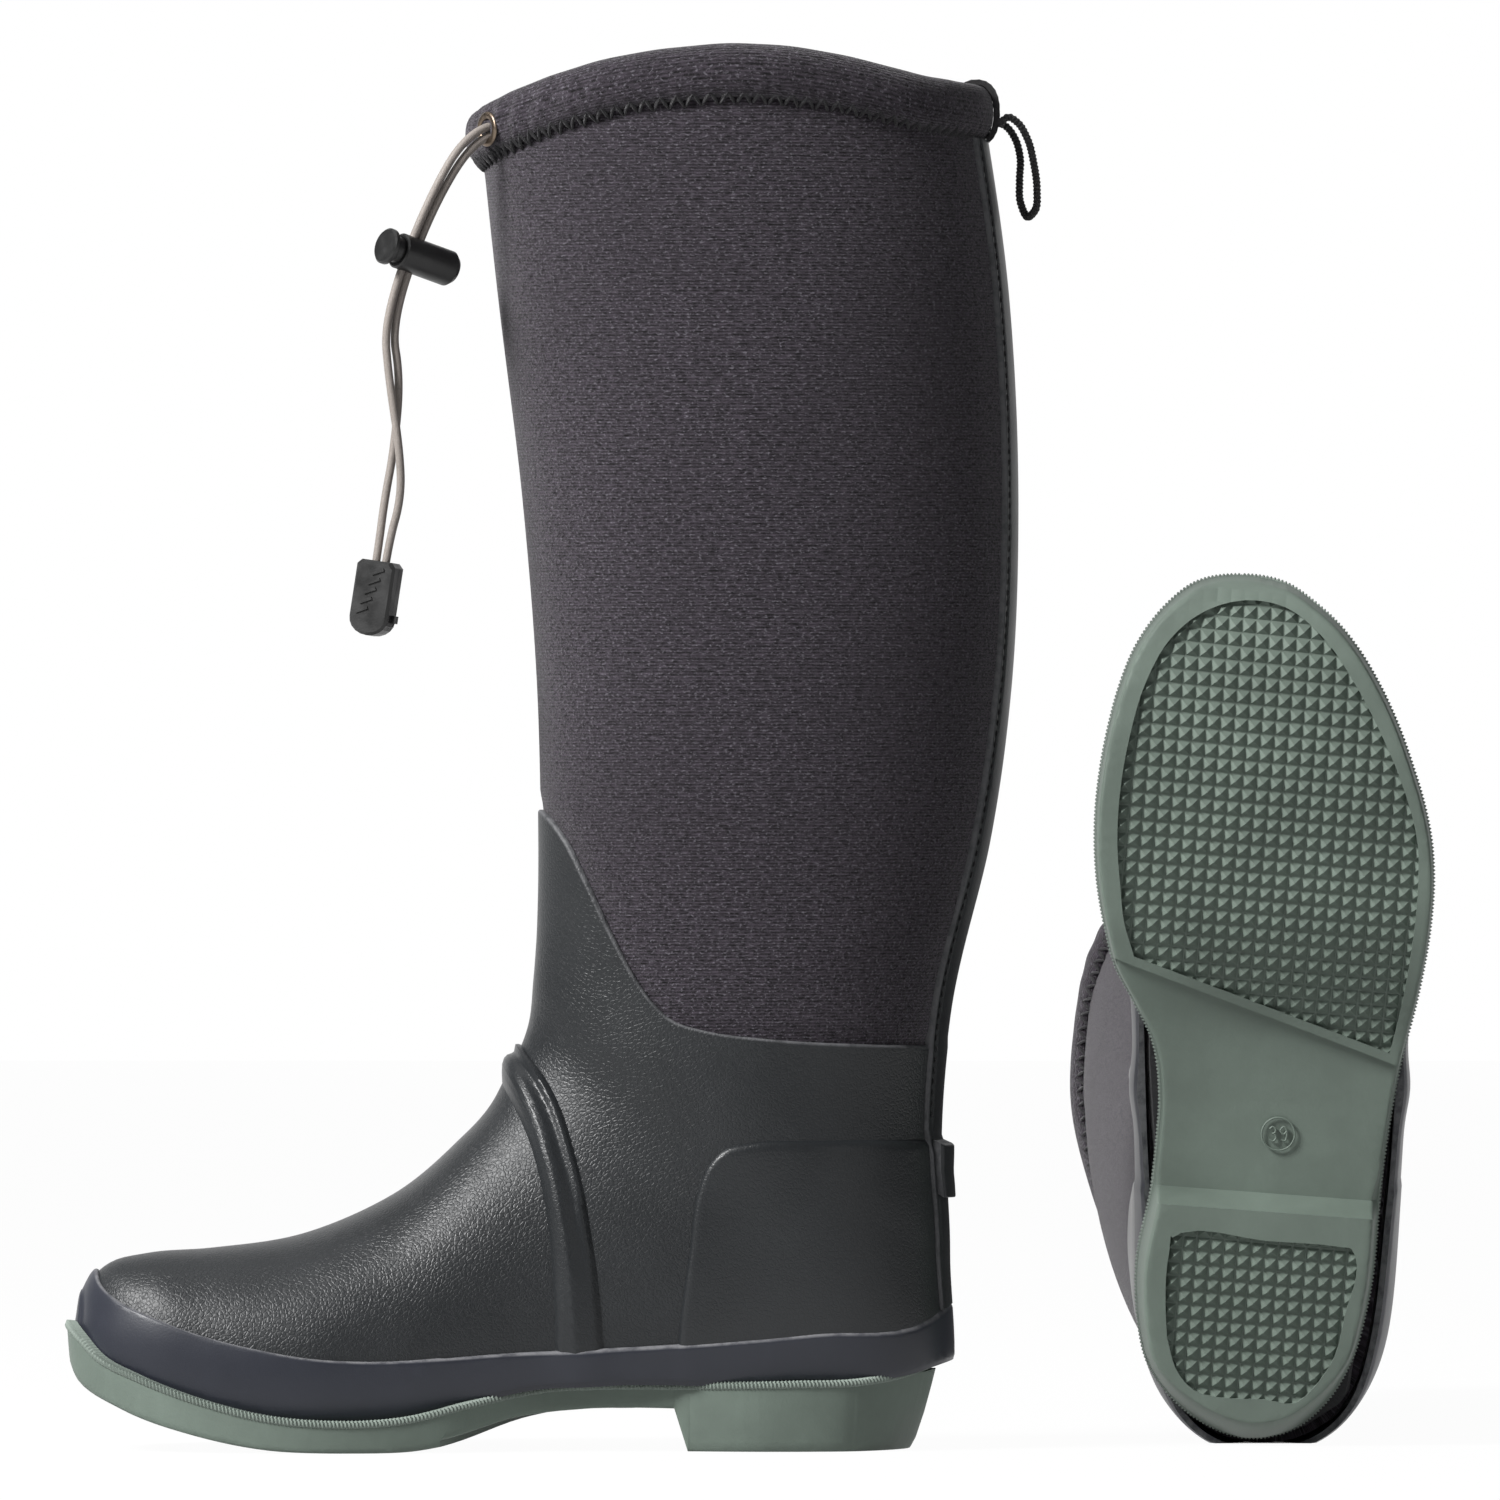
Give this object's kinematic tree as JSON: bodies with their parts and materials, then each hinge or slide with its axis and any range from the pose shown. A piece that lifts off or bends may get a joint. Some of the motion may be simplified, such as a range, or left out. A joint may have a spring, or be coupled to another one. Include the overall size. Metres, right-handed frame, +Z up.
{
  "type": "riding boots",
  "caption": "Pair of tall riding wellingtons: moulded rubber foot and studded outsole, neoprene shaft with drawcord collar and cord lock; one stands, one lies sole out.",
  "frame": {"origin": "centre of the pair's bounding box at the floor, free cords left out", "axes": "+Z up; the standing right boot's toe points to -X with its inner side to -Y; the lying left boot's sole faces -Y, its toe up and its shaft runs to +Y"},
  "size_m": [0.429, 0.5232, 0.4389],
  "materials": {
    "sole_rubber": "matte moulded grey-green rubber",
    "boot_rubber": "satin black rubber with a fine leather grain",
    "foxing_rubber": "smooth black rubber",
    "stay_rubber": "satin black rubber",
    "neoprene": "knit jersey on neoprene, dark",
    "insole_foam": "foam footbed with knit top",
    "insole_board": "fibre board",
    "steel": "plain",
    "eyelet_metal": "dark antique finish",
    "elastic_cord": "braided elastic cord, taupe grey",
    "webbing": "narrow ribbed braid, black",
    "black_plastic": "moulded black plastic"
  },
  "bodies": {
    "boots": {"right_back_stay": "stay_rubber", "right_clip_back": "black_plastic", "right_clip_front": "black_plastic", "right_collar": "neoprene", "right_eyelet": "eyelet_metal", "right_foxing": "foxing_rubber", "right_heel_counter": "boot_rubber", "right_insole": "insole_foam", "right_insole_board": "insole_board", "right_instep_band": "boot_rubber", "right_neoprene_sock": "neoprene", "right_outsole": "sole_rubber", "right_pull_tab": "webbing", "right_rubber_leg": "boot_rubber", "right_shank": "steel", "right_spur_rest": "stay_rubber", "right_strand_a": "elastic_cord", "right_strand_b": "elastic_cord", "right_tunnel_cord": "elastic_cord", "right_vamp": "boot_rubber", "left_back_stay": "stay_rubber", "left_clip_back": "black_plastic", "left_clip_front": "black_plastic", "left_collar": "neoprene", "left_eyelet": "eyelet_metal", "left_foxing": "foxing_rubber", "left_heel_counter": "boot_rubber", "left_insole": "insole_foam", "left_insole_board": "insole_board", "left_instep_band": "boot_rubber", "left_neoprene_sock": "neoprene", "left_outsole": "sole_rubber", "left_pull_tab": "webbing", "left_rubber_leg": "boot_rubber", "left_shank": "steel", "left_spur_rest": "stay_rubber", "left_strand_a": "elastic_cord", "left_strand_b": "elastic_cord", "left_tunnel_cord": "elastic_cord", "left_vamp": "boot_rubber"},
    "right_lock": {"right_lock_barrel": "black_plastic", "right_lock_spring": "steel"},
    "right_plunger": {"right_lock_plunger": "black_plastic"},
    "right_loop": {"right_pull_loop": "webbing"},
    "left_lock": {"left_lock_barrel": "black_plastic", "left_lock_spring": "steel"},
    "left_plunger": {"left_lock_plunger": "black_plastic"},
    "left_loop": {"left_pull_loop": "webbing"}
  },
  "joints": [
    {"name": "right_lock_slide", "type": "slide", "parent": "boots", "child": "right_lock", "axis": [-0.33, 0, -0.944], "range_m": [0, 0.006]},
    {"name": "right_plunger_press", "type": "slide", "parent": "right_lock", "child": "right_plunger", "axis": [0.7739, 0.5727, -0.2705], "range_m": [0, 0.002], "stiffness_N_per_m": 900, "deforming": ["right_lock_spring"]},
    {"name": "right_loop_swing", "type": "hinge", "parent": "boots", "child": "right_loop", "pos_m": [0.07867, -0.2082, 0.416], "axis": [0, -1, 0], "range_deg": [-8, 60]},
    {"name": "left_lock_slide", "type": "slide", "parent": "boots", "child": "left_lock", "axis": [0, -0.9745, -0.2243], "range_m": [0, 0.006]},
    {"name": "left_plunger_press", "type": "slide", "parent": "left_lock", "child": "left_plunger", "axis": [1, 0, 0], "range_m": [0, 0.002], "stiffness_N_per_m": 900, "deforming": ["left_lock_spring"]},
    {"name": "left_loop_swing", "type": "hinge", "parent": "boots", "child": "left_loop", "pos_m": [0.16141, 0.21518, 0.02255], "axis": [1, 0, 0], "range_deg": [0, 30]}
  ]
}
